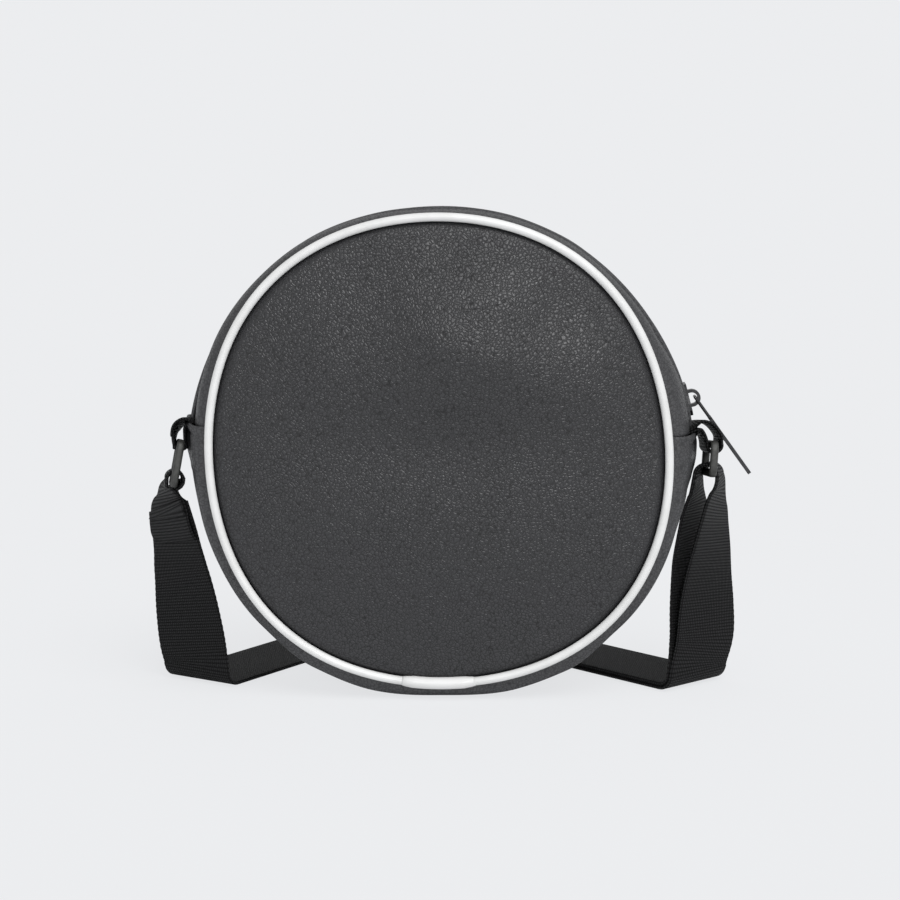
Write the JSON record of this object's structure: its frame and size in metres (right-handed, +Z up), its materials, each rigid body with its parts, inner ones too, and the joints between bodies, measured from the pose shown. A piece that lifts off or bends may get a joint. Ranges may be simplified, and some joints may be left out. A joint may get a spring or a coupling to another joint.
{
  "type": "circle bag",
  "caption": "Round cross-body bag in charcoal leather with white piping, a zip round the top, side rings and a webbing strap",
  "frame": {"origin": "on the ground below the bag's middle, in the middle plane of its depth", "axes": "+Z up, +X to the right and -Y towards the viewer of the picture, who faces the plain back panel"},
  "size_m": [0.2697, 0.1794, 0.2138],
  "materials": {
    "charcoal_leather": "pebbled faux leather, satin",
    "gusset_leather": "pebbled faux leather, satin",
    "white_piping": "smooth coated piping",
    "cord_core": "twisted cord",
    "foam": "closed-cell foam sheet",
    "lining": "plain woven polyester",
    "zip_tape": "herringbone zip tape",
    "zip_teeth": "moulded teeth",
    "black_metal": "black lacquered metal",
    "gunmetal": "gunmetal plated",
    "webbing": "ribbed woven webbing"
  },
  "bodies": {
    "bag": {"back_panel": "charcoal_leather", "back_foam": "foam", "back_lining": "lining", "front_panel": "charcoal_leather", "front_foam": "foam", "front_lining": "lining", "back_piping": "white_piping", "back_piping_core": "cord_core", "piping_sleeve": "white_piping", "front_piping": "white_piping", "front_piping_core": "cord_core", "lower_gusset": "gusset_leather", "gusset_stiffener": "foam", "gusset_lining": "lining", "zip_strip_back": "gusset_leather", "zip_strip_front": "gusset_leather", "zip_tape_back": "zip_tape", "zip_tape_front": "zip_tape", "zip_teeth_back": "zip_teeth", "zip_teeth_front": "zip_teeth", "zip_stops": "zip_teeth", "tab_left": "webbing", "tab_right": "webbing", "strap_tail": "webbing", "strap_left": "webbing", "strap_right": "webbing", "strap_return": "webbing", "strap_adjuster": "gunmetal"},
    "mouth": {"mouth_panel": "charcoal_leather", "mouth_foam": "foam", "mouth_lining": "lining", "mouth_piping": "white_piping", "mouth_piping_core": "cord_core", "mouth_strip": "gusset_leather", "mouth_tape": "zip_tape", "mouth_teeth": "zip_teeth"},
    "zip_slider": {"zip_slider": "black_metal", "zip_bail": "black_metal"},
    "zip_pull": {"zip_pull": "black_metal"},
    "left_ring": {"ring_left": "gunmetal", "strap_loop_left": "webbing"},
    "right_ring": {"ring_right": "gunmetal", "strap_loop_right": "webbing"}
  },
  "joints": [
    {"name": "mouth_fold", "type": "hinge", "parent": "bag", "child": "mouth", "pos_m": [0, 0.0386, 0.1438], "axis": [-1, 0, 0], "range_deg": [0, 30], "deforming": ["zip_teeth_back", "zip_teeth_front", "mouth_teeth"]},
    {"name": "zip_slide", "type": "hinge", "parent": "bag", "child": "zip_slider", "pos_m": [0, 0, 0.10095], "axis": [0, -1, 0], "range_deg": [0, 151], "deforming": ["zip_teeth_back", "zip_teeth_front", "mouth_teeth"]},
    {"name": "pull_swing", "type": "hinge", "parent": "zip_slider", "child": "zip_pull", "pos_m": [0.11299, 0, 0.13017], "axis": [0, -1, 0], "range_deg": [0, 120]},
    {"name": "left_ring_swing", "type": "hinge", "parent": "bag", "child": "left_ring", "pos_m": [-0.118, 0, 0.1068], "axis": [0, 1, 0], "range_deg": [-4, 20]},
    {"name": "right_ring_swing", "type": "hinge", "parent": "bag", "child": "right_ring", "pos_m": [0.1204, 0, 0.1096], "axis": [0, -1, 0], "range_deg": [-4, 20]}
  ]
}
